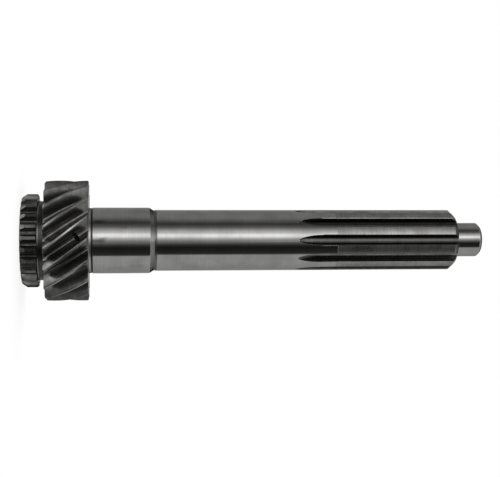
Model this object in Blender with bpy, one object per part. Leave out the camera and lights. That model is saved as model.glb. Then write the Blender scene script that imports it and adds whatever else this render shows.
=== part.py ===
"""Main drive gear of a manual gearbox: dog teeth, helical gear, bearing journal, splined shaft and pilot.

It is one forged and machined piece, 218 mm long. Its gear end stands on the origin and its shaft
runs up +Z to the pilot. An angle is counted from the side that faces -Y, and turns towards +X.
"""

import math

import bmesh
import bpy
from mathutils import Vector

# Dog ring: the straight teeth that the shift sleeve slides over
DOG_TEETH = 25
DOG_WIDTH = 0.00749
DOG_TOOTH_DEPTH = 0.0025
DOG_TIP_LAND = 0.0016
DOG_FLANK_ANGLE = math.radians(22.8)
DOG_LEAD_IN_DEPTH = 0.0016
DOG_LEAD_IN_WIDTH = 0.0024
DOG_BACK_CHAMFER = 0.0004
DOG_CLEARANCE_UNDER_GEAR_ROOTS = 0.00072
DOG_TOOTH_ANGLE = math.radians(-2.6)

# Neck between the dog ring and the gear
NECK_WIDTH = 0.00304
NECK_STEP_UNDER_DOG_ROOTS = 0.00074
NECK_FILLET = 0.0006

# Helical gear, left-hand
GEAR_TEETH = 17
GEAR_WIDTH = 0.02004
GEAR_DIAMETER = 0.05594
GEAR_TOOTH_DEPTH = 0.00556
GEAR_REFERENCE_DEPTH = 0.00306
GEAR_PRESSURE_ANGLE = math.radians(26)
GEAR_ROOT_FILLET_HEIGHT = 0.00115
GEAR_LEAD = 0.223
GEAR_FRONT_CHAMFER = 0.00075
GEAR_BACK_CHAMFER = 0.00045
GEAR_MIDDLE_TOOTH_ANGLE = math.radians(14.3)

# Oil hole, from the bottom of one tooth gap into the pocket
OIL_HOLE_DIAMETER = 0.0021
OIL_HOLE_FROM_POCKET_END = 0.0021

# Collar and relief groove between the gear and the journal
COLLAR_WIDTH = 0.00113
COLLAR_STEP_UNDER_JOURNAL = 0.00022
RELIEF_WIDTH = 0.0009
RELIEF_DEPTH = 0.0003
RELIEF_SLOPE_WIDTH = 0.0003

# Bearing journal, ground
JOURNAL_DIAMETER = 0.0309
JOURNAL_LENGTH = 0.02607
JOURNAL_TAPER_LENGTH = 0.0019
SHAFT_GROOVE_WIDTH = 0.0015
SHAFT_GROOVE_DEPTH = 0.0002

# Shaft: its ground length runs over the start of the splines
GROUND_LENGTH = 0.084
GROUND_END_STEP = 0.00005
GROUND_END_STEP_WIDTH = 0.00015
RUN_OUT_TIP_TO_GROUND_END = 0.0182

# Splines, cut with a hob that leaves a pointed run-out
SPLINE_TEETH = 10
SPLINE_DIAMETER = 0.02858
SPLINE_LENGTH = 0.07468
SPLINE_DEPTH = 0.0027
SPLINE_TOOTH_WIDTH = 0.00446
SPLINE_ROOT_FILLET = 0.0005
SPLINE_RUN_OUT = 0.0108
RUN_OUT_BLUNTNESS = 0.7
SPLINE_EDGE_BREAK = 0.0004
SPLINE_EDGE_BREAK_LEAD = 0.0012
SPLINE_END_CHAMFER = 0.00229
SPLINE_GAP_ANGLE = math.radians(0.8)

# Pilot, which runs in the flywheel's bearing
PILOT_DIAMETER = 0.016
PILOT_LENGTH = 0.01324
PILOT_CHAMFER = 0.00145
PILOT_FILLET = 0.0006
CENTRE_HOLE_MOUTH_DIAMETER = 0.005
CENTRE_HOLE_DRILL_DIAMETER = 0.002
CENTRE_HOLE_DRILL_LENGTH = 0.0025
CENTRE_HOLE_ANGLE = math.radians(60)

# Pocket in the gear end, for the rollers that carry the main shaft
POCKET_DIAMETER = 0.023
POCKET_DEPTH = 0.0275
POCKET_MOUTH_CHAMFER = 0.001
DRILL_POINT_ANGLE = math.radians(118)

# How finely the round and twisted forms are faceted
TURNED_STEPS = 60
FILLET_STEPS = 2
FLANK_STEPS = 3
ROOT_STEPS = 4
HELIX_STEPS = 7
RUN_OUT_STEPS = 6
HOLE_STEPS = 20

# Cutters run past the walls that they cut by this much, and start this share ahead of a run-out
CUTTER_OVERRUN = 0.0006
RUN_OUT_HEAD_START = 0.04
RUN_OUT_FIRST_SHARE = 0.02

# Points closer than this are one, and edges flatter than this are smooth
MERGE_DISTANCE = 0.00001
SMOOTH_ANGLE = math.radians(24)

# Stations along the shaft
DOG_BACK = DOG_WIDTH
GEAR_FRONT = DOG_BACK + NECK_WIDTH
GEAR_BACK = GEAR_FRONT + GEAR_WIDTH
COLLAR_END = GEAR_BACK + COLLAR_WIDTH
JOURNAL_START = COLLAR_END + RELIEF_WIDTH
JOURNAL_END = JOURNAL_START + JOURNAL_LENGTH
GROOVE_START = JOURNAL_END + JOURNAL_TAPER_LENGTH
SHAFT_START = GROOVE_START + SHAFT_GROOVE_WIDTH
GROUND_END = SHAFT_START + GROUND_LENGTH
RUN_OUT_TIP = GROUND_END - RUN_OUT_TIP_TO_GROUND_END
SPLINE_END = RUN_OUT_TIP + SPLINE_LENGTH + SPLINE_END_CHAMFER
PILOT_END = SPLINE_END + PILOT_LENGTH

# Radii
GEAR_RADIUS = GEAR_DIAMETER / 2
GEAR_ROOT_RADIUS = GEAR_RADIUS - GEAR_TOOTH_DEPTH
GEAR_REFERENCE_RADIUS = GEAR_RADIUS - GEAR_REFERENCE_DEPTH
DOG_RADIUS = GEAR_ROOT_RADIUS - DOG_CLEARANCE_UNDER_GEAR_ROOTS
DOG_ROOT_RADIUS = DOG_RADIUS - DOG_TOOTH_DEPTH
NECK_RADIUS = DOG_ROOT_RADIUS - NECK_STEP_UNDER_DOG_ROOTS
JOURNAL_RADIUS = JOURNAL_DIAMETER / 2
COLLAR_RADIUS = JOURNAL_RADIUS - COLLAR_STEP_UNDER_JOURNAL
SPLINE_RADIUS = SPLINE_DIAMETER / 2
SPLINE_ROOT_RADIUS = SPLINE_RADIUS - SPLINE_DEPTH
SHAFT_RADIUS = SPLINE_RADIUS + GROUND_END_STEP
GROOVE_RADIUS = SHAFT_RADIUS - SHAFT_GROOVE_DEPTH
PILOT_RADIUS = PILOT_DIAMETER / 2
POCKET_RADIUS = POCKET_DIAMETER / 2


def clear_scene():
    """Removes every object that the scene starts with."""
    for item in list(bpy.data.objects):
        bpy.data.objects.remove(item)


def steel():
    """Returns the bare, hardened and partly ground steel of the whole piece."""
    material = bpy.data.materials.new("hardened_steel")
    material.use_nodes = True
    shader = material.node_tree.nodes["Principled BSDF"]
    shader.inputs["Base Color"].default_value = (0.30, 0.30, 0.29, 1)
    shader.inputs["Metallic"].default_value = 1
    shader.inputs["Roughness"].default_value = 0.32
    return material


def add_object(name, shape):
    """Turns a bmesh into an object of the scene."""
    mesh = bpy.data.meshes.new(name)
    shape.to_mesh(mesh)
    shape.free()
    item = bpy.data.objects.new(name, mesh)
    bpy.context.collection.objects.link(item)
    return item


def rounded(corners):
    """Returns the outline through (radius, height, fillet) corners, with an arc at each fillet."""
    points = []
    for index, (radius, height, fillet) in enumerate(corners):
        corner = Vector((radius, height))
        if not fillet:
            points.append(corner)
            continue
        before = (Vector(corners[index - 1][:2]) - corner).normalized()
        after = (Vector(corners[index + 1][:2]) - corner).normalized()
        half = before.angle(after) / 2
        centre = corner + (before + after).normalized() * fillet / math.sin(half)
        start = corner + before * fillet / math.tan(half) - centre
        end = corner + after * fillet / math.tan(half) - centre
        for step in range(FILLET_STEPS + 1):
            spoke = start.lerp(end, step / FILLET_STEPS).normalized()
            points.append(centre + spoke * fillet)
    return points


def turned_corners():
    """Lists the corners of the turned blank, from the pilot's centre hole down to the pocket."""
    hole_radius = CENTRE_HOLE_DRILL_DIAMETER / 2
    mouth_radius = CENTRE_HOLE_MOUTH_DIAMETER / 2
    cone_depth = (mouth_radius - hole_radius) / math.tan(CENTRE_HOLE_ANGLE / 2)
    drill_end = PILOT_END - cone_depth - CENTRE_HOLE_DRILL_LENGTH
    point_slope = 1 / math.tan(DRILL_POINT_ANGLE / 2)
    centre_hole = [
        (0, drill_end - hole_radius * point_slope, 0),
        (hole_radius, drill_end, 0),
        (hole_radius, PILOT_END - cone_depth, 0),
        (mouth_radius, PILOT_END, 0),
    ]
    pilot = [
        (PILOT_RADIUS - PILOT_CHAMFER, PILOT_END, 0),
        (PILOT_RADIUS, PILOT_END - PILOT_CHAMFER, 0),
        (PILOT_RADIUS, SPLINE_END, PILOT_FILLET),
    ]
    splined_length = [
        (SPLINE_RADIUS - SPLINE_END_CHAMFER, SPLINE_END, 0),
        (SPLINE_RADIUS, SPLINE_END - SPLINE_END_CHAMFER, 0),
        (SPLINE_RADIUS, GROUND_END + GROUND_END_STEP_WIDTH, 0),
    ]
    ground_shaft = [
        (SHAFT_RADIUS, GROUND_END, 0),
        (SHAFT_RADIUS, SHAFT_START + SHAFT_GROOVE_DEPTH, 0),
        (GROOVE_RADIUS, SHAFT_START, 0),
        (GROOVE_RADIUS, GROOVE_START, 0),
    ]
    journal = [
        (JOURNAL_RADIUS, JOURNAL_END, 0),
        (JOURNAL_RADIUS, JOURNAL_START, 0),
        (JOURNAL_RADIUS - RELIEF_DEPTH, JOURNAL_START - RELIEF_SLOPE_WIDTH, 0),
        (JOURNAL_RADIUS - RELIEF_DEPTH, COLLAR_END, 0),
        (COLLAR_RADIUS, COLLAR_END, 0),
        (COLLAR_RADIUS, GEAR_BACK, 0),
    ]
    gear = [
        (GEAR_RADIUS - GEAR_BACK_CHAMFER, GEAR_BACK, 0),
        (GEAR_RADIUS, GEAR_BACK - GEAR_BACK_CHAMFER, 0),
        (GEAR_RADIUS, GEAR_FRONT + GEAR_FRONT_CHAMFER, 0),
        (GEAR_RADIUS - GEAR_FRONT_CHAMFER, GEAR_FRONT, 0),
    ]
    neck = [
        (NECK_RADIUS, GEAR_FRONT, NECK_FILLET),
        (NECK_RADIUS, DOG_BACK, NECK_FILLET),
    ]
    dog_ring = [
        (DOG_RADIUS - DOG_BACK_CHAMFER, DOG_BACK, 0),
        (DOG_RADIUS, DOG_BACK - DOG_BACK_CHAMFER, 0),
        (DOG_RADIUS, DOG_LEAD_IN_WIDTH, 0),
        (DOG_RADIUS - DOG_LEAD_IN_DEPTH, 0, 0),
    ]
    pocket = [
        (POCKET_RADIUS + POCKET_MOUTH_CHAMFER, 0, 0),
        (POCKET_RADIUS, POCKET_MOUTH_CHAMFER, 0),
        (POCKET_RADIUS, POCKET_DEPTH, 0),
        (0, POCKET_DEPTH + POCKET_RADIUS * point_slope, 0),
    ]
    return (
        centre_hole + pilot + splined_length + ground_shaft + journal + gear + neck + dog_ring + pocket
    )


def turned_blank(name):
    """Turns the outline round the shaft's axis."""
    shape = bmesh.new()
    outline = [shape.verts.new((point.x, 0, point.y)) for point in rounded(turned_corners())]
    for first, second in zip(outline, outline[1:]):
        shape.edges.new((first, second))
    blank = add_object(name, shape)
    turning = blank.modifiers.new("turning", "SCREW")
    turning.steps = TURNED_STEPS
    turning.render_steps = TURNED_STEPS
    turning.use_merge_vertices = True
    turning.merge_threshold = MERGE_DISTANCE
    return blank


def placed(outline, angle, height):
    """Places a flat outline of (across, outward) points at one angle and height."""
    outward = Vector((math.sin(angle), -math.cos(angle), 0))
    across = Vector((math.cos(angle), math.sin(angle), 0))
    return [across * x + outward * y + Vector((0, 0, height)) for x, y in outline]


def add_loft(shape, sections):
    """Skins one closed solid through a row of sections with as many points each."""
    rings = [[shape.verts.new(point) for point in section] for section in sections]
    for lower, upper in zip(rings, rings[1:]):
        for index in range(len(lower)):
            after = (index + 1) % len(lower)
            shape.faces.new((lower[index], lower[after], upper[after], upper[index]))
    shape.faces.new(rings[0])
    shape.faces.new(rings[-1])


def add_cutter(name, shape):
    """Makes a cutter of the solids in a bmesh: a wire that isn't rendered."""
    bmesh.ops.triangulate(shape, faces=shape.faces[:])
    bmesh.ops.recalc_face_normals(shape, faces=shape.faces[:])
    cutter = add_object(name, shape)
    cutter.hide_render = True
    cutter.display_type = "WIRE"
    return cutter


def mirrored(half):
    """Completes a symmetrical outline from the (across, outward) points of its right half."""
    left = [(-across, outward) for across, outward in reversed(half) if across > 0]
    return half + left


def dog_gap_outline():
    """Returns the trapezoid gap between two dog teeth."""
    pitch = 2 * math.pi / DOG_TEETH
    top = DOG_RADIUS + CUTTER_OVERRUN
    half_top = DOG_RADIUS * math.sin(pitch / 2) - DOG_TIP_LAND / 2
    half_floor = half_top - DOG_TOOTH_DEPTH * math.tan(DOG_FLANK_ANGLE)
    return mirrored([(half_floor, DOG_ROOT_RADIUS), (half_top, DOG_RADIUS), (half_top, top)])


def dog_gap_cutter():
    """Cuts the gaps of the dog ring, from its front face to its back."""
    shape = bmesh.new()
    outline = dog_gap_outline()
    pitch = 2 * math.pi / DOG_TEETH
    for tooth in range(DOG_TEETH):
        angle = DOG_TOOTH_ANGLE + pitch * (tooth + 0.5)
        heights = (-CUTTER_OVERRUN, DOG_BACK + CUTTER_OVERRUN)
        add_loft(shape, [placed(outline, angle, height) for height in heights])
    return add_cutter("dog_gap_cutter", shape)


def involute(angle):
    """Returns the involute function of a pressure angle."""
    return math.tan(angle) - angle


def gear_gap_half_angle(radius):
    """Returns half the angle of a tooth gap at one radius, between two involute flanks."""
    base_radius = GEAR_REFERENCE_RADIUS * math.cos(GEAR_PRESSURE_ANGLE)
    pressure = math.acos(min(base_radius / radius, 1))
    quarter_pitch = math.pi / GEAR_TEETH / 2
    return quarter_pitch + involute(pressure) - involute(GEAR_PRESSURE_ANGLE)


def gear_gap_outline():
    """Returns the gap between two gear teeth: involute flanks on a rounded root."""
    form_radius = GEAR_ROOT_RADIUS + GEAR_ROOT_FILLET_HEIGHT
    half_form = gear_gap_half_angle(form_radius)
    corner = Vector((form_radius * math.sin(half_form), form_radius * math.cos(half_form)))
    rise = corner.y - GEAR_ROOT_RADIUS
    root_arc_radius = (corner.x**2 + rise**2) / (2 * rise)
    sweep = math.asin(min(corner.x / root_arc_radius, 1))
    half = []
    for step in range(ROOT_STEPS // 2):
        turn = sweep * step / (ROOT_STEPS // 2)
        across = root_arc_radius * math.sin(turn)
        outward = GEAR_ROOT_RADIUS + root_arc_radius * (1 - math.cos(turn))
        half.append((across, outward))
    for step in range(FLANK_STEPS + 1):
        radius = form_radius + (GEAR_RADIUS - form_radius) * step / FLANK_STEPS
        angle = gear_gap_half_angle(radius)
        half.append((radius * math.sin(angle), radius * math.cos(angle)))
    top_radius = GEAR_RADIUS + CUTTER_OVERRUN
    half.append((top_radius * math.sin(angle), top_radius * math.cos(angle)))
    return mirrored(half)


def helix_turn(height):
    """Returns how far the left-hand helix has turned at a height, from the gear's middle."""
    return -2 * math.pi * (height - (GEAR_FRONT + GEAR_BACK) / 2) / GEAR_LEAD


def gear_gap_angle(gap, height):
    """Returns the angle of one tooth gap's middle at a height."""
    pitch = 2 * math.pi / GEAR_TEETH
    return GEAR_MIDDLE_TOOTH_ANGLE + pitch * (gap - 0.5) + helix_turn(height)


def gear_gap_cutter():
    """Cuts the helical tooth gaps."""
    shape = bmesh.new()
    outline = gear_gap_outline()
    start = GEAR_FRONT - CUTTER_OVERRUN
    length = GEAR_WIDTH + 2 * CUTTER_OVERRUN
    heights = [start + length * step / HELIX_STEPS for step in range(HELIX_STEPS + 1)]
    for gap in range(GEAR_TEETH):
        add_loft(shape, [placed(outline, gear_gap_angle(gap, height), height) for height in heights])
    return add_cutter("gear_gap_cutter", shape)


def oil_hole_cutter():
    """Drills the oil hole through one tooth gap's root into the pocket."""
    height = POCKET_DEPTH - OIL_HOLE_FROM_POCKET_END
    angle = gear_gap_angle(0, height)
    inner = POCKET_RADIUS - OIL_HOLE_DIAMETER
    outer = GEAR_ROOT_RADIUS + OIL_HOLE_DIAMETER
    shape = bmesh.new()
    bmesh.ops.create_cone(
        shape,
        cap_ends=True,
        segments=HOLE_STEPS,
        radius1=OIL_HOLE_DIAMETER / 2,
        radius2=OIL_HOLE_DIAMETER / 2,
        depth=outer - inner,
    )
    cutter = add_cutter("oil_hole_cutter", shape)
    cutter.location = placed([(0, (inner + outer) / 2)], angle, height)[0]
    cutter.rotation_euler = (math.pi / 2, 0, angle)
    return cutter


def spline_gap_outline(share, edge_break):
    """Returns a spline gap with a share of its full depth, and its edges broken."""
    half_pitch = math.pi / SPLINE_TEETH
    half_tooth = SPLINE_TOOTH_WIDTH / 2
    floor_angle = half_pitch - math.asin(half_tooth / SPLINE_ROOT_RADIUS)
    wall_angle = half_pitch - math.asin(half_tooth / SPLINE_RADIUS)
    half_floor = SPLINE_ROOT_RADIUS * math.sin(floor_angle)
    half_top = SPLINE_RADIUS * math.sin(wall_angle)
    slope = (half_top - half_floor) / SPLINE_DEPTH
    width = max(share, RUN_OUT_FIRST_SHARE) ** RUN_OUT_BLUNTNESS
    floor = SHAFT_RADIUS - (SHAFT_RADIUS - SPLINE_ROOT_RADIUS) * share
    fillet = SPLINE_ROOT_FILLET * width
    top = max(SPLINE_RADIUS * math.cos(wall_angle), floor + 2 * fillet)
    return mirrored(
        [
            (0, floor),
            ((half_floor - SPLINE_ROOT_FILLET) * width, floor),
            ((half_floor + slope * SPLINE_ROOT_FILLET) * width, floor + fillet),
            ((half_top - slope * edge_break) * width, top - edge_break),
            (half_top * width + edge_break, top),
            (half_top * width + edge_break, top + 2 * CUTTER_OVERRUN),
        ]
    )


def spline_gap_sections(angle):
    """Lists the sections of one spline gap, up its run-out and along to the shaft's end."""
    full_depth = RUN_OUT_TIP + SPLINE_RUN_OUT
    sections = []
    for step in range(RUN_OUT_STEPS + 1):
        climb = (1 + RUN_OUT_HEAD_START) * (1 - step / RUN_OUT_STEPS)
        outline = spline_gap_outline(1 - climb**2, 0)
        sections.append(placed(outline, angle, full_depth - SPLINE_RUN_OUT * climb))
    broken_outline = spline_gap_outline(1, SPLINE_EDGE_BREAK)
    for height in (full_depth + SPLINE_EDGE_BREAK_LEAD, SPLINE_END + CUTTER_OVERRUN):
        sections.append(placed(broken_outline, angle, height))
    return sections


def spline_gap_cutter():
    """Cuts the gaps between the splines."""
    shape = bmesh.new()
    for gap in range(SPLINE_TEETH):
        angle = SPLINE_GAP_ANGLE + 2 * math.pi * gap / SPLINE_TEETH
        add_loft(shape, spline_gap_sections(angle))
    return add_cutter("spline_gap_cutter", shape)


def machined(blank, cutters):
    """Cuts the blank, then keeps the result as a plain mesh with its round faces smooth."""
    for cutter in cutters:
        cut = blank.modifiers.new(cutter.name, "BOOLEAN")
        cut.operation = "DIFFERENCE"
        cut.solver = "EXACT"
        cut.object = cutter
    graph = bpy.context.evaluated_depsgraph_get()
    mesh = bpy.data.meshes.new_from_object(blank.evaluated_get(graph))
    blank.modifiers.clear()
    blank.data = mesh
    mesh.shade_smooth()
    mesh.set_sharp_from_angle(angle=SMOOTH_ANGLE)
    mesh.materials.append(steel())


clear_scene()
drive_gear = turned_blank("main_drive_gear")
machined(
    drive_gear,
    [dog_gap_cutter(), gear_gap_cutter(), oil_hole_cutter(), spline_gap_cutter()],
)
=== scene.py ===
import math

import bmesh
import bpy
from mathutils import Matrix, Vector


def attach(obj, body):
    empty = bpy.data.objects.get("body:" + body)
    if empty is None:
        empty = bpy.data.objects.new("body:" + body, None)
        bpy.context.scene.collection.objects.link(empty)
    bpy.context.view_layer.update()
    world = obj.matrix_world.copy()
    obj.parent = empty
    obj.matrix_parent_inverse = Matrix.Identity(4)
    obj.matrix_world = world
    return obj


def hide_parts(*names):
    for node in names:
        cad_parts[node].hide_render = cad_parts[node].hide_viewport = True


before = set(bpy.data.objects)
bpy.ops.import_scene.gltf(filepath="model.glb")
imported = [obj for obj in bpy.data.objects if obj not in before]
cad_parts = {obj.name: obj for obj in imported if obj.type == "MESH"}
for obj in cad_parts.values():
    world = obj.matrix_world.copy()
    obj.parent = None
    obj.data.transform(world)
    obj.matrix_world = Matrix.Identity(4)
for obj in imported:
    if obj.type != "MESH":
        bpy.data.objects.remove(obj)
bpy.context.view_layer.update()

# every size is in metres, and a station is a height above the gear-end face
overrun = 0.0006  # how far a cutter runs past what it cuts

blankSize = {
    "turns": 240,  # facets round the shaft
    "endFace": 0.0,
    "dogBack": 0.00749,
    "gearFront": 0.01053,
    "gearBack": 0.03057,
    "collarEnd": 0.03155,
    "reliefEnd": 0.03215,
    "journalStart": 0.03245,
    "journalStep": 0.0491,
    "journalEnd": 0.05867,
    "grooveStart": 0.06072,
    "grooveEnd": 0.06112,
    "shaftStart": 0.06195,
    "groundEnd": 0.14607,
    "splineEnd": 0.20484,
    "pilotEnd": 0.21808,
    "gearRadius": 0.02797,
    "dogRadius": 0.02169,
    "neckRadius": 0.01845,
    "journalRadius": 0.01545,
    "journalStepDepth": 0.00002,
    "collarDepth": 0.00022,
    "reliefDepth": 0.0003,
    "shaftRadius": 0.01434,
    "grooveDepth": 0.0002,
    "splineRadius": 0.01429,
    "splineChamfer": 0.00229,
    "pilotRadius": 0.0081,
    "pilotChamfer": 0.00145,
    "pilotFillet": 0.0006,
    "centreMouth": 0.0025,
    "centreRadius": 0.001,
    "centreCone": 0.0026,
    "centreDrill": 0.0051,
    "centrePoint": 0.0057,
    "groundEndSlope": 0.0001,
    "grooveFillet": 0.00015,
    "journalStepWidth": 0.00012,
    "reliefSlope": 0.0001,
    "reliefFillet": 0.00008,
    "collarFillet": 0.0004,
    "gearBackChamfer": 0.00045,
    "gearFrontChamfer": 0.00075,
    "neckFillet": 0.0003,
    "pocketRadius": 0.0115,
    "pocketDepth": 0.0275,
    "pocketChamfer": 0.001,
    "drillAngle": math.radians(59),  # half of the angle of the drill's point
    "edgeRound": 0.00012,
    "filletSteps": 3,
    "mergeDistance": 0.00001,
    "heldFrom": 0.0025,  # a cylinder longer than this gets a ring near each end
    "heldDistance": 0.0003,
    "smoothAngle": math.radians(25),
}

gearTeeth = {
    "count": 17,
    "rootRadius": 0.02241,
    "pitchRadius": 0.02491,
    "filletHeight": 0.00115,
    "pressureAngle": math.radians(26),
    "lead": 0.223,
    "middleToothAngle": math.radians(14.3),
    "edgeBreak": 0.00018,
    "breakReach": 1.3,
    "edgeSpread": 2.5,
    "endBreak": 0.00022,
    "rootSteps": 5,
    "flankSteps": 7,
    "lengthSteps": 24,
}

dogTeeth = {
    "count": 25,
    "depth": 0.0025,
    "tipLand": 0.0013,
    "flankAngle": math.radians(22.8),
    "toothAngle": math.radians(-3.05),
    "leadInDepth": 0.0016,
    "leadInLength": 0.0024,
    "leadInFillet": 0.0004,
    "backChamfer": 0.0004,
    "edgeBreak": 0.00012,
    "floorRound": 0.0003,
    "floorRoundShare": 0.3,
    "gapBelow": 0.0204,
    "endBreak": 0.00022,
}

splineTeeth = {
    "count": 10,
    "depth": 0.0027,
    "toothWidth": 0.00446,
    "floorFillet": 0.0005,
    "floorArch": 0.2,  # how much of a round floor's rise is left, as the floor is nearly flat
    "archSpan": 0.6,
    "floorPoints": ((0.3, 0.25), (0.6, 1)),  # (share of the half width, share of the arch)
    "filletStart": 1.1,
    "filletMiddle": (0.3, 0.25),
    "gapAngle": math.radians(0.8),
    "runOutTip": 0.1273,
    "runOutLength": 0.0112,
    "bluntness": 0.7,
    "headStart": 0.04,
    "firstShare": 0.02,
    "runOutSteps": 22,
    "edgeBreaks": (0.0002, 0.00028),
    "sharpBreak": 0.00004,  # the points of an edge stay this far apart where it is sharp
    "edgeSteps": 4,
    "wornSlope": 0.47,
    "wornAway": 0.0003,
    "edgeBreakLead": 0.0012,
}

oilHole = {"radius": 0.00105, "height": 0.0254, "sides": 40}


def pickOnly(item):
    # everything else is deselected first, because an operator works on all that is selected
    bpy.ops.object.select_all(action="DESELECT")
    item.select_set(True)
    bpy.context.view_layer.objects.active = item


def turnBlank(name, corners, steps):
    # a point is extruded from corner to corner, its corners are rounded, and the line is spun
    bpy.ops.object.select_all(action="DESELECT")
    bpy.ops.mesh.primitive_plane_add(size=0.001)
    blank = bpy.context.object
    blank.name = name
    bpy.ops.object.mode_set(mode="EDIT")
    bpy.ops.mesh.merge(type="CENTER")
    here = Vector((0, 0, 0))
    for number, (radius, height, fillet) in enumerate(corners):
        there = Vector((radius, 0, height))
        if number == 0:
            bpy.ops.transform.translate(value=there - here)
        else:
            bpy.ops.mesh.extrude_vertices_move(TRANSFORM_OT_translate={"value": there - here})
        here = there
    for radius, height, fillet in corners:
        if fillet:
            bpy.ops.mesh.select_all(action="DESELECT")
            shape = bmesh.from_edit_mesh(blank.data)
            corner = min(shape.verts, key=lambda v: (v.co - Vector((radius, 0, height))).length)
            corner.select = True
            shape.select_flush_mode()
            bmesh.update_edit_mesh(blank.data)
            bpy.ops.mesh.bevel(offset=fillet, segments=blankSize["filletSteps"], affect="VERTICES")
    bpy.ops.mesh.select_all(action="SELECT")
    bpy.ops.mesh.spin(steps=steps, angle=2 * math.pi, center=(0, 0, 0), axis=(0, 0, 1))
    bpy.ops.mesh.select_all(action="SELECT")
    bpy.ops.mesh.remove_doubles(threshold=blankSize["mergeDistance"])
    bpy.ops.mesh.normals_make_consistent(inside=False)
    bpy.ops.object.mode_set(mode="OBJECT")
    return blank


def loftCutter(name, sections, copies):
    # the first section is a filled circle whose points are set, and each further one is
    # extruded from it
    bpy.ops.object.select_all(action="DESELECT")
    bpy.ops.mesh.primitive_circle_add(vertices=len(sections[0]), fill_type="NGON")
    cutter = bpy.context.object
    cutter.name = name
    for vertex, point in zip(cutter.data.vertices, sections[0]):
        vertex.co = point
    bpy.ops.object.mode_set(mode="EDIT")
    bpy.ops.mesh.select_all(action="SELECT")
    for before, after in zip(sections, sections[1:]):
        bpy.ops.mesh.extrude_region_move(TRANSFORM_OT_translate={"value": (0, 0, 0)})
        shape = bmesh.from_edit_mesh(cutter.data)
        for vertex in [v for v in shape.verts if v.select]:
            place = min(range(len(before)), key=lambda i: (before[i] - vertex.co).length_squared)
            vertex.co = after[place]
        bmesh.update_edit_mesh(cutter.data)
    bpy.ops.mesh.select_all(action="SELECT")
    bpy.ops.mesh.normals_make_consistent(inside=False)
    for copy in range(copies - 1):
        bpy.ops.mesh.duplicate()
        bpy.ops.transform.rotate(
            value=2 * math.pi / copies, orient_axis="Z", center_override=(0, 0, 0)
        )
    bpy.ops.object.mode_set(mode="OBJECT")
    return cutter


def cutAway(item, cutter):
    pickOnly(item)
    bpy.ops.object.modifier_add(type="BOOLEAN")
    cut = item.modifiers[-1]
    cut.operation = "DIFFERENCE"
    cut.solver = "EXACT"
    cut.object = cutter
    bpy.ops.object.modifier_apply(modifier=cut.name)
    bpy.data.objects.remove(cutter)


def atAngle(outline, angle, height):
    # an outline of (across, outward) points, set up at one angle and height
    outward = Vector((math.sin(angle), -math.cos(angle), 0))
    across = Vector((math.cos(angle), math.sin(angle), 0))
    return [across * x + outward * y + Vector((0, 0, height)) for x, y in outline]


def bothSides(half):
    return half + [(-x, y) for x, y in reversed(half) if x > 0]


def widened(outline, middle, extra):
    # the outline grown by about the same amount all round its middle
    reach = max(x for x, y in outline)
    share = 1 + extra / reach
    return [(x * share, middle + (y - middle) * share) for x, y in outline]


def gapHalfAngle(radius):
    # half the angle of a gap between two involute flanks
    baseRadius = gearTeeth["pitchRadius"] * math.cos(gearTeeth["pressureAngle"])
    slope = math.acos(min(baseRadius / radius, 1))
    turn = math.tan(slope) - slope
    pitchTurn = math.tan(gearTeeth["pressureAngle"]) - gearTeeth["pressureAngle"]
    return math.pi / gearTeeth["count"] / 2 + turn - pitchTurn


def gearGapOutline():
    root = gearTeeth["rootRadius"]
    form = root + gearTeeth["filletHeight"]
    tip = blankSize["gearRadius"] - gearTeeth["edgeBreak"]
    halfForm = gapHalfAngle(form)
    cornerX = form * math.sin(halfForm)
    rise = form * math.cos(halfForm) - root
    arcRadius = (cornerX**2 + rise**2) / (2 * rise)
    sweep = math.asin(min(cornerX / arcRadius, 1))
    half = []
    for step in range(gearTeeth["rootSteps"]):
        turn = sweep * step / gearTeeth["rootSteps"]
        half.append((arcRadius * math.sin(turn), root + arcRadius * (1 - math.cos(turn))))
    for step in range(gearTeeth["flankSteps"] + 1):
        radius = form + (tip - form) * step / gearTeeth["flankSteps"]
        angle = gapHalfAngle(radius)
        half.append((radius * math.sin(angle), radius * math.cos(angle)))
    # the break is flatter than the flank, and ends just outside the tip
    breakOut = gearTeeth["edgeBreak"] * gearTeeth["breakReach"]
    half.append((half[-1][0] + breakOut * gearTeeth["edgeSpread"], half[-1][1] + breakOut))
    half.append((half[-1][0], half[-1][1] + overrun))
    return bothSides(half)


def gearGapSections():
    front, back = blankSize["gearFront"], blankSize["gearBack"]
    pitch = 2 * math.pi / gearTeeth["count"]
    outline = gearGapOutline()
    middle = (gearTeeth["rootRadius"] + blankSize["gearRadius"]) / 2
    inset = gearTeeth["endBreak"]
    steps = gearTeeth["lengthSteps"]
    length = back - front - 2 * inset
    heights = [front + inset + length * step / steps for step in range(steps + 1)]
    flared = widened(outline, middle, inset + overrun)
    places = [(front - overrun, flared)]
    places += [(height, outline) for height in heights]
    places += [(back + overrun, flared)]
    sections = []
    for height, shape in places:
        turn = -2 * math.pi * (height - (front + back) / 2) / gearTeeth["lead"]
        sections.append(atAngle(shape, gearTeeth["middleToothAngle"] - pitch / 2 + turn, height))
    return sections


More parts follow.
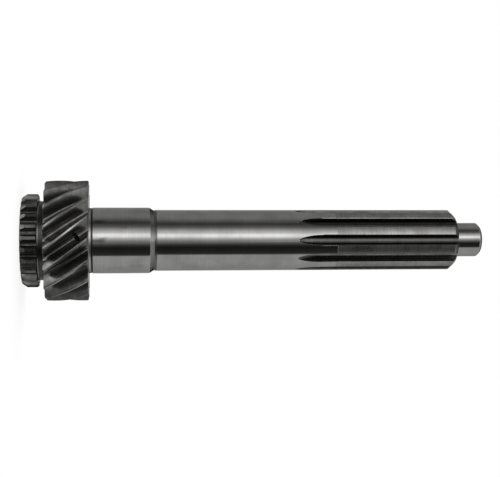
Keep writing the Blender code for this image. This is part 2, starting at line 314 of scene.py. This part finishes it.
def dogGapSections():
    pitch = 2 * math.pi / dogTeeth["count"]
    radius = blankSize["dogRadius"]
    floor = radius - dogTeeth["depth"]
    slope = math.tan(dogTeeth["flankAngle"])
    halfTop = radius * math.sin(pitch / 2) - dogTeeth["tipLand"] / 2
    halfFloor = halfTop - dogTeeth["depth"] * slope
    small, broken = dogTeeth["floorRound"], dogTeeth["edgeBreak"]
    inner = small * dogTeeth["floorRoundShare"]
    outline = bothSides([
        (0, floor),
        (halfFloor - small, floor),
        (halfFloor - inner, floor + inner),
        (halfFloor + small * slope, floor + small),
        (halfTop - broken * slope, radius - broken),
        (halfTop + broken + overrun, radius + overrun),
    ])
    middle = radius - dogTeeth["depth"] / 2
    inset = dogTeeth["endBreak"]
    back = blankSize["dogBack"]
    flared = widened(outline, middle, inset + overrun)
    places = [(-overrun, flared), (inset, outline)]
    places += [(back - inset, outline), (back + overrun, flared)]
    angle = dogTeeth["toothAngle"] + pitch / 2
    return [atAngle(shape, angle, height) for height, shape in places]


def splineGapSide(share, edgeBreak, bulge):
    root = blankSize["splineRadius"] - splineTeeth["depth"]
    halfPitch = math.pi / splineTeeth["count"]
    halfTooth = splineTeeth["toothWidth"] / 2
    floorAngle = halfPitch - math.asin(halfTooth / root)
    wallAngle = halfPitch - math.asin(halfTooth / blankSize["splineRadius"])
    wornAway = 0 if bulge else splineTeeth["wornAway"]
    halfFloor = root * math.sin(floorAngle) + wornAway
    halfTop = blankSize["splineRadius"] * math.sin(wallAngle) + wornAway
    slope = (halfTop - halfFloor) / splineTeeth["depth"]
    width = max(share, splineTeeth["firstShare"]) ** splineTeeth["bluntness"]
    floor = blankSize["shaftRadius"] - (blankSize["shaftRadius"] - root) * share
    fillet = splineTeeth["floorFillet"]
    top = max(math.sqrt(blankSize["splineRadius"] ** 2 - halfTop**2), floor + 2 * fillet * width)
    edgeBreak = max(edgeBreak, splineTeeth["sharpBreak"])
    fall = edgeBreak * (1 if bulge else splineTeeth["wornSlope"])
    middle = ((halfTop + edgeBreak) * width, top - fall)
    edge = []
    for step in range(1, splineTeeth["edgeSteps"]):
        turn = math.radians(90 * step / splineTeeth["edgeSteps"])
        straight = step / splineTeeth["edgeSteps"]
        away = edgeBreak * (1 - math.cos(turn) if bulge else straight)
        rise = fall * (math.sin(turn) if bulge else straight)
        edge.append((middle[0] - edgeBreak + away, middle[1] + rise))
    span = halfFloor * splineTeeth["archSpan"]
    arch = splineTeeth["floorArch"] * (root - math.sqrt(root**2 - span**2))
    inner, up = splineTeeth["filletMiddle"]
    return [
        (0, floor),
        *[(halfFloor * x * width, floor - arch * y * width) for x, y in splineTeeth["floorPoints"]],
        ((halfFloor - fillet) * width, floor - arch * splineTeeth["filletStart"] * width),
        ((halfFloor - fillet * inner) * width, floor + fillet * up * width),
        ((halfFloor + slope * fillet) * width, floor + fillet * width),
        (middle[0] - edgeBreak, middle[1]),
        *edge,
        (middle[0], top),
        (middle[0], top + 2 * overrun),
    ]


def splineGapOutline(share, edgeBreaks):
    # one edge of each tooth is rounded, and the edge on its loaded side is worn flat
    rounded = splineGapSide(share, edgeBreaks[0], True)
    worn = splineGapSide(share, edgeBreaks[1], False)
    return rounded + [(-x, y) for x, y in reversed(worn) if x > 0]


def splineGapSections():
    full = splineTeeth["runOutTip"] + splineTeeth["runOutLength"]
    steps = splineTeeth["runOutSteps"]
    sections = []
    for step in range(steps + 1):
        climb = (1 + splineTeeth["headStart"]) * (1 - step / steps)
        height = full - splineTeeth["runOutLength"] * climb
        sharp = splineGapOutline(1 - climb**2, (0, 0))
        sections.append(atAngle(sharp, splineTeeth["gapAngle"], height))
    broken = splineGapOutline(1, splineTeeth["edgeBreaks"])
    for height in (full + splineTeeth["edgeBreakLead"], blankSize["splineEnd"] + overrun):
        sections.append(atAngle(broken, splineTeeth["gapAngle"], height))
    return sections


def oilHoleCutter():
    # a cylinder from the bottom of one gap into the pocket
    pitch = 2 * math.pi / gearTeeth["count"]
    middle = (blankSize["gearFront"] + blankSize["gearBack"]) / 2
    turn = -2 * math.pi * (oilHole["height"] - middle) / gearTeeth["lead"]
    angle = gearTeeth["middleToothAngle"] - pitch / 2 + turn
    inner = blankSize["pocketRadius"] - 2 * oilHole["radius"]
    outer = gearTeeth["rootRadius"] + 2 * oilHole["radius"]
    bpy.ops.object.select_all(action="DESELECT")
    bpy.ops.mesh.primitive_cylinder_add(
        vertices=oilHole["sides"],
        radius=oilHole["radius"],
        depth=outer - inner,
        location=atAngle([(0, (inner + outer) / 2)], angle, oilHole["height"])[0],
        rotation=(math.pi / 2, 0, angle),
    )
    return bpy.context.object


def blankCorners():
    # (radius, height, fillet), from the pilot's centre hole down the outside and up into the pocket
    b, d = blankSize, dogTeeth
    soft = b["edgeRound"]
    journalBack = b["journalRadius"] - b["journalStepDepth"]
    relief = b["journalRadius"] - b["reliefDepth"]
    collar = b["journalRadius"] - b["collarDepth"]
    return [
        (0, b["pilotEnd"] - b["centrePoint"], 0),
        (b["centreRadius"], b["pilotEnd"] - b["centreDrill"], 0),
        (b["centreRadius"], b["pilotEnd"] - b["centreCone"], 0),
        (b["centreMouth"], b["pilotEnd"], soft),
        (b["pilotRadius"] - b["pilotChamfer"], b["pilotEnd"], soft * 2),
        (b["pilotRadius"], b["pilotEnd"] - b["pilotChamfer"], soft * 2),
        (b["pilotRadius"], b["splineEnd"], b["pilotFillet"]),
        (b["splineRadius"] - b["splineChamfer"], b["splineEnd"], soft),
        (b["splineRadius"], b["splineEnd"] - b["splineChamfer"], soft),
        (b["splineRadius"], b["groundEnd"] + b["groundEndSlope"], 0),
        (b["shaftRadius"], b["groundEnd"], 0),
        (b["shaftRadius"], b["shaftStart"], soft),
        (b["shaftRadius"] - b["grooveDepth"], b["grooveEnd"], soft),
        (b["shaftRadius"] - b["grooveDepth"], b["grooveStart"], b["grooveFillet"]),
        (journalBack, b["journalEnd"], soft * 2),
        (journalBack, b["journalStep"] + b["journalStepWidth"], 0),
        (b["journalRadius"], b["journalStep"], 0),
        (b["journalRadius"], b["journalStart"], soft * 0.8),
        (relief, b["reliefEnd"], b["reliefFillet"]),
        (relief, b["collarEnd"] + b["reliefSlope"], b["reliefFillet"]),
        (collar, b["collarEnd"], 0),
        (collar, b["gearBack"], b["collarFillet"]),
        (b["gearRadius"] - b["gearBackChamfer"], b["gearBack"], soft),
        (b["gearRadius"], b["gearBack"] - b["gearBackChamfer"], soft),
        (b["gearRadius"], b["gearFront"] + b["gearFrontChamfer"], soft),
        (b["gearRadius"] - b["gearFrontChamfer"], b["gearFront"], soft),
        (b["neckRadius"], b["gearFront"], b["neckFillet"]),
        (b["neckRadius"], b["dogBack"], b["neckFillet"]),
        (b["dogRadius"] - d["backChamfer"], b["dogBack"], soft),
        (b["dogRadius"], b["dogBack"] - d["backChamfer"], soft),
        (b["dogRadius"], d["leadInLength"], d["leadInFillet"]),
        (b["dogRadius"] - d["leadInDepth"], b["endFace"], soft * 2),
        (b["pocketRadius"] + b["pocketChamfer"], b["endFace"], soft),
        (b["pocketRadius"], b["endFace"] + b["pocketChamfer"], soft),
        (b["pocketRadius"], b["pocketDepth"], 0),
        (0, b["pocketDepth"] + b["pocketRadius"] / math.tan(b["drillAngle"]), 0),
    ]


def heldCorners(corners):
    # rings close to the ends of each long cylinder keep its shading straight
    held = []
    for before, after in zip(corners, corners[1:]):
        held.append(before)
        rise = after[1] - before[1]
        if before[0] == after[0] and abs(rise) > blankSize["heldFrom"]:
            up = math.copysign(1, rise)
            held.append((before[0], before[1] + up * (before[2] + blankSize["heldDistance"]), 0))
            held.append((after[0], after[1] - up * (after[2] + blankSize["heldDistance"]), 0))
    return held + [corners[-1]]


groundSteel = {
    "light": (0.53, 0.527, 0.517, 1),
    "dark": (0.43, 0.427, 0.419, 1),
    "roughness": (0.06, 0.12),
    "cloudScale": 90,
    "grainScale": 2600,
    "ringScale": 4200,
    "ringShade": 0.05,
    "ringHeight": 0.0000006,
    "grainHeight": 0.0000004,
}

turnedSteel = {
    "light": (0.46, 0.457, 0.447, 1),
    "dark": (0.36, 0.357, 0.349, 1),
    "roughness": (0.24, 0.34),
    "cloudScale": 160,
    "grainScale": 2200,
    "ringScale": 2600,
    "ringShade": 0.14,
    "ringHeight": 0.0000045,
    "grainHeight": 0.000002,
    "edgeTint": 0.2,
}

# the teeth and the gaps keep the dark skin of their heat treatment
darkSteel = {
    "light": (0.225, 0.223, 0.217, 1),
    "dark": (0.15, 0.149, 0.145, 1),
    "roughness": (0.26, 0.38),
    "cloudScale": 260,
    "grainScale": 1900,
    "ringScale": 1500,
    "ringShade": 0.1,
    "ringHeight": 0.000004,
    "grainHeight": 0.000004,
    "feedPitch": 0.00066,
    "feedHeight": 0.000006,
}

# the taper behind the journal, and the neck's edge by the dog ring, are smoother than the splines,
# and are painted darker than the turned steel as painted shade
taperSteel = dict(
    turnedSteel,
    light=(0.29, 0.288, 0.281, 1),
    dark=(0.22, 0.218, 0.213, 1),
    roughness=(0.12, 0.17),
)

# the narrow collar beside the gear is painted brighter than the other steels, as a painted
# highlight
collarSteel = dict(turnedSteel, light=(0.64, 0.637, 0.625, 1), dark=(0.56, 0.557, 0.547, 1))

# the bottoms between the dog teeth, the neck and the relief groove are painted nearly black, darker
# than the dark skin, as painted shade in these recesses
paintedShadeSteel = dict(darkSteel, light=(0.1, 0.099, 0.096, 1), dark=(0.06, 0.0595, 0.058, 1))

# the spline gaps are dark too, and their corners and run-outs are painted darker, as painted shade
gapSteel = {
    "light": (0.32, 0.318, 0.31, 1),
    "dark": (0.24, 0.238, 0.232, 1),
    "roughness": (0.22, 0.3),
    "cloudScale": 200,
    "grainScale": 1900,
    "ringScale": 900,
    "ringShade": 0.08,
    "ringHeight": 0.000002,
    "grainHeight": 0.000003,
}
gapCorners = {
    "pitch": 2 * math.pi / splineTeeth["count"],
    "gapAngle": splineTeeth["gapAngle"],
    "angles": (math.radians(1.4), math.radians(4.2)),
    "radii": (0.0125, 0.0152),
    "shade": 0.14,
    "runOutHeights": (splineTeeth["runOutTip"] + 0.001, splineTeeth["runOutTip"] + 0.0085),
    "runOutShade": 0.3,
}

# handling marks on the ground steel, longer than they are wide: (place, half width, how dark)
smudges = [
    ((-0.0085, -0.0129, 0.0355), 0.0010, 0.72),
    ((0.0002, -0.01545, 0.0356), 0.0011, 0.66),
    ((-0.0012, -0.0153, 0.0385), 0.0006, 0.25),
    ((0.0118, -0.0098, 0.0520), 0.0016, 0.2),
    ((0.0128, -0.0086, 0.0440), 0.0013, 0.15),
    ((-0.0058, -0.0143, 0.0473), 0.0005, 0.45),
]
smudgeLook = {
    "length": 3.2,  # times the width
    "blotchScale": (700, 700, 260),
    "blotchDetail": 4.0,
    "raggedness": 2.4,
    "reach": (1.1, 2.4),  # full and no darkness, in half widths
}
witnessRing = {"height": 0.0491, "halfWidth": 0.00022, "roughness": 0.14}

# what the patterns of all the steels share
steelPattern = {
    "cloudDetail": 5.0,
    "grainDetail": 3.0,
    "ringSpread": 25,
    "cloudStops": (0.36, 0.62),
    "ringRange": (0.3, 0.7),
    "roughRange": (0.65, 0.35),
}


def addNode(nodes, links, kind, **wires):
    # a node whose named inputs are numbers, vectors or the outputs of other nodes
    node = nodes.new(kind)
    for name, value in wires.items():
        socket = node.inputs[int(name[1:])] if name[1:].isdigit() else node.inputs[name]
        if isinstance(value, bpy.types.NodeSocket):
            links.new(value, socket)
        else:
            socket.default_value = value
    return node


def addMath(nodes, links, operation, first, second=0.0):
    node = addNode(nodes, links, "ShaderNodeMath", i0=first, i1=second)
    node.operation = operation
    return node.outputs["Value"]


def addVectorMath(nodes, links, operation, first, second=(0, 0, 0)):
    node = addNode(nodes, links, "ShaderNodeVectorMath", i0=first, i1=second)
    node.operation = operation
    return node


def addNoise(nodes, links, place, scale, detail):
    # noise stretched by a scale for each of the three directions
    stretched = addVectorMath(nodes, links, "MULTIPLY", place, scale).outputs["Vector"]
    noise = addNode(nodes, links, "ShaderNodeTexNoise", Vector=stretched, Scale=1.0, Detail=detail)
    return noise.outputs["Fac"]


def addRange(nodes, links, value, low, high, lowTo, highTo):
    node = addNode(nodes, links, "ShaderNodeMapRange", Value=value)
    ends = {"From Min": low, "From Max": high, "To Min": lowTo, "To Max": highTo}
    for name, number in ends.items():
        node.inputs[name].default_value = number
    return node.outputs["Result"]


def smudgeShade(nodes, links, place, shade, marks):
    # each mark darkens the shade round its own place, out to a ragged edge
    squeeze = Vector((1, 1, 1 / smudgeLook["length"]))
    squeezed = addVectorMath(nodes, links, "MULTIPLY", place, squeeze).outputs["Vector"]
    blotches = addNoise(nodes, links, place, smudgeLook["blotchScale"], smudgeLook["blotchDetail"])
    inner, outer = smudgeLook["reach"]
    for spot, radius, darkness in marks:
        away = addVectorMath(nodes, links, "DISTANCE", squeezed, Vector(spot) * squeeze)
        ragged = addMath(nodes, links, "MULTIPLY", blotches, radius * smudgeLook["raggedness"])
        ragged = addMath(nodes, links, "ADD", away.outputs["Value"], ragged)
        spotShade = addRange(nodes, links, ragged, radius * inner, radius * outer, 1 - darkness, 1)
        shade = addMath(nodes, links, "MULTIPLY", shade, spotShade)
    return shade


def cornerShade(nodes, links, place, shade, corners):
    # painted shade: a point is darker by how far round from the middle of its gap it is, and by how
    # far in
    flat = addNode(nodes, links, "ShaderNodeSeparateXYZ", Vector=place)
    nearSide = addMath(nodes, links, "MULTIPLY", flat.outputs["Y"], -1.0)
    turn = addMath(nodes, links, "ARCTAN2", flat.outputs["X"], nearSide)
    ahead = corners["pitch"] / 2 - corners["gapAngle"] + 2 * math.pi
    turn = addMath(nodes, links, "ADD", turn, ahead)
    turn = addMath(nodes, links, "MODULO", turn, corners["pitch"])
    turn = addMath(nodes, links, "SUBTRACT", turn, corners["pitch"] / 2)
    turn = addMath(nodes, links, "ABSOLUTE", turn)
    cornerShadeAmount = addRange(nodes, links, turn, *corners["angles"], 0, 1)
    out = addVectorMath(nodes, links, "MULTIPLY", place, (1, 1, 0))
    reach = addVectorMath(nodes, links, "LENGTH", out.outputs["Vector"])
    deep = addRange(nodes, links, reach.outputs["Value"], *corners["radii"], 1, 0)
    cornerShadeAmount = addMath(nodes, links, "MULTIPLY", cornerShadeAmount, deep)
    paintedCornerShade = addRange(nodes, links, cornerShadeAmount, 0, 1, 1, corners["shade"])
    shade = addMath(nodes, links, "MULTIPLY", shade, paintedCornerShade)
    # the run-outs are painted darker than the rest of their gaps, as painted shade
    along = addRange(
        nodes, links, flat.outputs["Z"], *corners["runOutHeights"], corners["runOutShade"], 1
    )
    return addMath(nodes, links, "MULTIPLY", shade, along)


def steelMaterial(name, look, marks=(), ring=None, corners=None):
    material = bpy.data.materials.new(name)
    material.use_nodes = True
    nodes, links = material.node_tree.nodes, material.node_tree.links
    shader = nodes["Principled BSDF"]
    shader.inputs["Metallic"].default_value = 1
    shader.inputs["Specular Tint"].default_value = [look.get("edgeTint", 1)] * 3 + [1]
    place = nodes.new("ShaderNodeTexCoord").outputs["Object"]
    cloudScale, grainScale = (look["cloudScale"],) * 3, (look["grainScale"],) * 3
    ringScale = (steelPattern["ringSpread"], steelPattern["ringSpread"], look["ringScale"])
    clouds = addNoise(nodes, links, place, cloudScale, steelPattern["cloudDetail"])
    grain = addNoise(nodes, links, place, grainScale, steelPattern["grainDetail"])
    rings = addNoise(nodes, links, place, ringScale, steelPattern["grainDetail"])
    ramp = addNode(nodes, links, "ShaderNodeValToRGB", Fac=clouds)
    dark, light = ramp.color_ramp.elements
    dark.position, light.position = steelPattern["cloudStops"]
    dark.color, light.color = look["dark"], look["light"]
    ringShades = (1 - look["ringShade"], 1 + look["ringShade"])
    shade = addRange(nodes, links, rings, *steelPattern["ringRange"], *ringShades)
    if marks:
        shade = smudgeShade(nodes, links, place, shade, marks)
    if corners:
        shade = cornerShade(nodes, links, place, shade, corners)
    tint = addVectorMath(nodes, links, "MULTIPLY", ramp.outputs["Color"], shade)
    links.new(tint.outputs["Vector"], shader.inputs["Base Color"])
    rough = addRange(nodes, links, clouds, *steelPattern["roughRange"], *look["roughness"])
    if ring:
        station = addNode(nodes, links, "ShaderNodeSeparateXYZ", Vector=place).outputs["Z"]
        beside = addMath(nodes, links, "SUBTRACT", station, ring["height"])
        beside = addMath(nodes, links, "ABSOLUTE", beside)
        extra = addRange(nodes, links, beside, 0, ring["halfWidth"], ring["roughness"], 0)
        rough = addMath(nodes, links, "ADD", rough, extra)
    links.new(rough, shader.inputs["Roughness"])
    ringHeight = addMath(nodes, links, "MULTIPLY", rings, look["ringHeight"])
    grainHeight = addMath(nodes, links, "MULTIPLY", grain, look["grainHeight"])
    height = addMath(nodes, links, "ADD", ringHeight, grainHeight)
    if "feedPitch" in look:
        # the marks that the cutter's feed leaves, one beside the other
        station = addNode(nodes, links, "ShaderNodeSeparateXYZ", Vector=place).outputs["Z"]
        wave = addMath(nodes, links, "MULTIPLY", station, 2 * math.pi / look["feedPitch"])
        wave = addMath(nodes, links, "SINE", wave)
        feed = addMath(nodes, links, "MULTIPLY", wave, look["feedHeight"])
        height = addMath(nodes, links, "ADD", height, feed)
    bump = addNode(nodes, links, "ShaderNodeBump", Height=height, Strength=1.0, Distance=1.0)
    links.new(bump.outputs["Normal"], shader.inputs["Normal"])
    return material


# which face gets which steel: how squarely out it looks, and margins at radii and stations
faceRules = {
    "groundOut": 0.85,
    "roundOut": 0.9,
    "softOut": 0.5,
    "edgeOut": 0.35,
    "tipOut": 0.97,
    "landDepth": 0.0003,
    "edgeDepth": 0.00045,
    "tipDepth": 0.0001,
    "groundMargin": 0.0001,
    "neckMargin": 0.0005,
    "neckEdge": 0.0006,
    "gapLead": 0.002,
    "gapMargin": 0.0001,
    "dogMargin": 0.0003,
    "pocketWall": 0.006,
}


def steelAt(face):
    b, rules = blankSize, faceRules
    radius, height = face.center.xy.length, face.center.z
    across = face.normal.x * face.center.x + face.normal.y * face.center.y
    facesOut = across / max(radius, 1e-6)
    pilotFace = b["pilotEnd"] - b["pilotChamfer"]
    onLand = radius > b["splineRadius"] - rules["landDepth"] and height > b["shaftStart"]
    onShaft = onLand and height < b["groundEnd"] + rules["groundMargin"]
    onJournal = b["reliefEnd"] < height < b["journalEnd"]
    onPilot = b["splineEnd"] < height < pilotFace
    onNeck = b["dogBack"] < height < b["gearFront"]
    onNeck = onNeck and radius < b["neckRadius"] + rules["neckMargin"]
    onTaper = b["journalEnd"] < height < b["grooveStart"]
    onEdge = radius > b["splineRadius"] - rules["edgeDepth"]
    onEdge = onEdge and b["groundEnd"] < height < b["splineEnd"]
    gapStart = splineTeeth["runOutTip"] - rules["gapLead"]
    inDogGap = dogTeeth["gapBelow"] > radius > b["pocketRadius"] + rules["pocketWall"]
    if facesOut > rules["groundOut"] and onShaft:
        return "groundSteel"
    if facesOut > rules["roundOut"] and (onJournal or onPilot):
        return "groundSteel"
    if facesOut > rules["softOut"] and onTaper:
        return "taperSteel"
    # the neck between the dog ring and the gear is painted darker, as painted shade
    if facesOut > rules["softOut"] and onNeck:
        return "taperSteel" if height < b["dogBack"] + rules["neckEdge"] else "paintedShadeSteel"
    if facesOut > rules["edgeOut"] and onEdge:
        return "turnedSteel"
    if gapStart < height < b["splineEnd"] - rules["gapMargin"]:
        return "gapSteel"
    if facesOut > rules["tipOut"] and radius > b["gearRadius"] - rules["tipDepth"]:
        return "turnedSteel"
    # the collar gets the painted highlight
    if b["gearBack"] < height < b["collarEnd"] and radius < b["journalRadius"]:
        return "collarSteel"
    # the relief groove and the bottoms between the dog teeth get painted shade
    if b["collarEnd"] < height < b["reliefEnd"]:
        return "paintedShadeSteel"
    if height < b["dogBack"] - rules["dogMargin"] and inDogGap:
        return "paintedShadeSteel"
    return "turnedSteel" if height > pilotFace else "darkSteel"


print("Turning the blank")
driveGear = turnBlank("driveGear", heldCorners(blankCorners()), blankSize["turns"])
print("Cutting the teeth and the splines")
cutAway(driveGear, loftCutter("gearGaps", gearGapSections(), gearTeeth["count"]))
cutAway(driveGear, loftCutter("dogGaps", dogGapSections(), dogTeeth["count"]))
cutAway(driveGear, loftCutter("splineGaps", splineGapSections(), splineTeeth["count"]))
cutAway(driveGear, oilHoleCutter())
pickOnly(driveGear)
bpy.ops.object.shade_smooth_by_angle(angle=blankSize["smoothAngle"])

print("Colouring the steel")
steels = [
    steelMaterial("darkSteel", darkSteel),
    steelMaterial("groundSteel", groundSteel, smudges, witnessRing),
    steelMaterial("turnedSteel", turnedSteel),
    steelMaterial("gapSteel", gapSteel, corners=gapCorners),
    steelMaterial("paintedShadeSteel", paintedShadeSteel),
    steelMaterial("taperSteel", taperSteel),
    steelMaterial("collarSteel", collarSteel),
]
steelNumbers = {}
for number, material in enumerate(steels):
    driveGear.data.materials.append(material)
    steelNumbers[material.name] = number
for face in driveGear.data.polygons:
    face.material_index = steelNumbers[steelAt(face)]

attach(driveGear, "root")
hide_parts("main_drive_gear")
print("Triangles:", sum(len(face.vertices) - 2 for face in driveGear.data.polygons))

print("Setting up the studio")
studioSetup = {
    "floorSize": 6,
    "paper": (0.93, 0.93, 0.93, 1),
    "paperRoughness": 0.9,
    "floorWhite": 0.85,
    "room": (0.75, 0.75, 0.75, 1),
    "roomWhite": 1.0,
    "lampTurn": (math.radians(-25), math.radians(-20), 0),
    "lampEnergy": 1.8,
    "lampAngle": math.radians(50),
}


def backgroundShare(nodes, links, most):
    # how much of a material or the world is plain white background for this ray
    rays = nodes.new("ShaderNodeLightPath").outputs
    seen = addMath(nodes, links, "MAXIMUM", rays["Is Camera Ray"], rays["Is Glossy Ray"])
    seen = addMath(nodes, links, "MAXIMUM", seen, rays["Is Transmission Ray"])
    return addMath(nodes, links, "MULTIPLY", seen, most)


# the floor that the part stands on is white to the camera and to glass, and metal sees the cards
# in its place
bpy.ops.object.select_all(action="DESELECT")
bpy.ops.mesh.primitive_plane_add(size=studioSetup["floorSize"], location=(0, 0, 0))
floor = bpy.context.object
floor.name = "floor"
floor.visible_glossy = False
paper = bpy.data.materials.new("paper")
paper.use_nodes = True
nodes, links = paper.node_tree.nodes, paper.node_tree.links
shader = nodes["Principled BSDF"]
shader.inputs["Base Color"].default_value = studioSetup["paper"]
shader.inputs["Roughness"].default_value = studioSetup["paperRoughness"]
shader.inputs["Specular IOR Level"].default_value = 0
white = addNode(nodes, links, "ShaderNodeEmission", Strength=1.0)
whiteShare = backgroundShare(nodes, links, studioSetup["floorWhite"])
mixed = addNode(nodes, links, "ShaderNodeMixShader", Fac=whiteShare)
links.new(shader.outputs["BSDF"], mixed.inputs[1])
links.new(white.outputs["Emission"], mixed.inputs[2])
links.new(mixed.outputs["Shader"], nodes["Material Output"].inputs["Surface"])
floor.data.materials.append(paper)

world = bpy.data.worlds.new("paleRoom")
bpy.context.scene.world = world
world.use_nodes = True
nodes, links = world.node_tree.nodes, world.node_tree.links
nodes["Background"].inputs["Color"].default_value = studioSetup["room"]
white = addNode(nodes, links, "ShaderNodeBackground", Color=(1, 1, 1, 1))
whiteShare = backgroundShare(nodes, links, studioSetup["roomWhite"])
mixed = addNode(nodes, links, "ShaderNodeMixShader", Fac=whiteShare)
links.new(nodes["Background"].outputs["Background"], mixed.inputs[1])
links.new(white.outputs["Background"], mixed.inputs[2])
links.new(mixed.outputs["Shader"], nodes["World Output"].inputs["Surface"])

# light and dark cards stand all round the part and show in its polish, as in the photograph:
# (degrees from the camera's side towards +X, brightness), for level cards and for high ones
levelCards = [
    (-180, 0.75), (-171, 0.6), (-163, 0.3), (-128, 0.25), (-100, 0.27), (-89, 0.25), (-79, 0.165),
    (-70, 0.09), (-63, 0.055), (-50, 0.15), (-44, 0.30), (-40, 0.45), (-32, 0.76), (-26, 0.95),
    (-22, 1.46), (-15, 1.5), (-11, 1.2), (-8, 0.85), (-1, 0.46), (6, 0.25), (11, 0.18),
    (14, 0.09), (20, 0.04), (26, 0.015), (47, 0.03), (54, 0.06),
    (57, 0.45), (90, 0.46), (120, 0.40), (160, 0.3), (170, 0.6), (180, 0.75),
]
highCards = [
    (-180, 0.34), (-110, 0.34), (-75, 0.19), (-58, 0.35), (-40, 0.8), (-24, 1.15), (0, 1.05),
    (13, 0.5), (28, 0.52), (60, 0.56), (100, 0.56), (150, 0.4), (180, 0.34),
]
cardSetup = {
    "brightest": 1.5,
    "shellRadius": 4,
    "shellSegments": 96,
    "shellRings": 48,
    "levelUpTo": 0.45,
    "highFrom": 0.72,
    "gearSideShare": 0.5,
    "gearSideFade": (-0.6, 0.2),
    "overhead": 0.12,
    "overheadFade": (0.965, 0.99),
    "sideLampAim": (-0.56, 0.04, -0.828),
    "sideLampFade": (0.83, 0.93),
    "sideLamp": 1.4,
}
bpy.ops.mesh.primitive_uv_sphere_add(
    segments=cardSetup["shellSegments"],
    ring_count=cardSetup["shellRings"],
    radius=cardSetup["shellRadius"],
)
cards = bpy.context.object
cards.name = "cards"
bpy.ops.object.shade_smooth()
cards.visible_camera = False
cards.visible_diffuse = False
cards.visible_transmission = False
cards.visible_shadow = False
cardPaint = bpy.data.materials.new("cards")
cardPaint.use_nodes = True
nodes, links = cardPaint.node_tree.nodes, cardPaint.node_tree.links
place = nodes.new("ShaderNodeTexCoord").outputs["Object"]
direction = addVectorMath(nodes, links, "NORMALIZE", place).outputs["Vector"]
axes = addNode(nodes, links, "ShaderNodeSeparateXYZ", Vector=direction)
nearSide = addMath(nodes, links, "MULTIPLY", axes.outputs["Y"], -1.0)
turn = addMath(nodes, links, "ARCTAN2", axes.outputs["X"], nearSide)
turnShare = addRange(nodes, links, turn, -math.pi, math.pi, 0, 1)
bands = []
for stops in (levelCards, highCards):
    band = addNode(nodes, links, "ShaderNodeValToRGB", Fac=turnShare)
    for number, (degrees, brightness) in enumerate(stops):
        at = (degrees + 180) / 360
        elements = band.color_ramp.elements
        stop = elements[number] if number < 2 else elements.new(at)
        stop.position = at
        stop.color = [brightness / cardSetup["brightest"]] * 3 + [1]
    bands.append(band.outputs["Color"])
steep = addMath(nodes, links, "ABSOLUTE", axes.outputs["Z"])
higher = addRange(nodes, links, steep, cardSetup["levelUpTo"], cardSetup["highFrom"], 0, 1)
pattern = addNode(nodes, links, "ShaderNodeMix", i0=higher)
pattern.data_type = "RGBA"
links.new(bands[0], pattern.inputs["A"])
# the high cards are darker beyond the gear end
darker = cardSetup["gearSideShare"]
towardsPilot = addRange(nodes, links, axes.outputs["Z"], *cardSetup["gearSideFade"], darker, 1)
highBand = addVectorMath(nodes, links, "MULTIPLY", bands[1], towardsPilot)
links.new(highBand.outputs["Vector"], pattern.inputs["B"])
# the pattern is dimmed straight beyond the pilot, and a lamp is added beyond the gear end
levels = (cardSetup["brightest"], cardSetup["overhead"])
dimming = addRange(nodes, links, axes.outputs["Z"], *cardSetup["overheadFade"], *levels)
lampSide = addVectorMath(nodes, links, "DOT_PRODUCT", direction, cardSetup["sideLampAim"])
lampRange = (*cardSetup["sideLampFade"], 0, cardSetup["sideLamp"])
lamp = addRange(nodes, links, lampSide.outputs["Value"], *lampRange)
total = addVectorMath(nodes, links, "MULTIPLY", pattern.outputs["Result"], dimming)
lit = addVectorMath(nodes, links, "ADD", total.outputs["Vector"], lamp)
glow = addNode(nodes, links, "ShaderNodeEmission", Color=lit.outputs["Vector"], Strength=1.0)
links.new(glow.outputs["Emission"], nodes["Material Output"].inputs["Surface"])
cards.data.materials.append(cardPaint)

# a soft lamp for the floor, at a plain level
bpy.ops.object.light_add(type="SUN", rotation=studioSetup["lampTurn"])
softLamp = bpy.context.object
softLamp.name = "softLamp"
softLamp.data.energy = studioSetup["lampEnergy"]
softLamp.data.angle = studioSetup["lampAngle"]
softLamp.visible_glossy = False

# the camera lies on its side, so the standing shaft runs across the picture
pixel = 0.47365e-3  # metres across one pixel at the shaft's axis
cameraSetup = {
    "pixelsAway": 1010,
    "pixelsAcross": 500,
    "lookUp": math.radians(5.65),
    "roll": math.radians(0.1375),
    "aim": Vector((0, 0, 0.08818)),
    "shift": (0.077, 0.0035),
    "clip": (0.01, 20),
}
toTop = Vector((-1, 0, 0))
lookUp, roll = cameraSetup["lookUp"], cameraSetup["roll"]
forward = Vector((0, math.cos(lookUp), math.sin(lookUp)))
right = Vector((0, -math.sin(lookUp), math.cos(lookUp)))
rolledRight = right * math.cos(roll) - toTop * math.sin(roll)
rolledUp = right * math.sin(roll) + toTop * math.cos(roll)
distance = cameraSetup["pixelsAway"] * pixel
bpy.ops.object.camera_add()
camera = bpy.context.object
camera.matrix_world = (
    Matrix.Translation(cameraSetup["aim"] - forward * distance)
    @ Matrix((rolledRight, rolledUp, -forward)).transposed().to_4x4()
)
camera.data.lens = (
    camera.data.sensor_width * cameraSetup["pixelsAway"] / cameraSetup["pixelsAcross"]
)
camera.data.shift_x, camera.data.shift_y = cameraSetup["shift"]
camera.data.clip_start, camera.data.clip_end = cameraSetup["clip"]
bpy.context.scene.camera = camera
bpy.context.scene.view_settings.view_transform = "Standard"
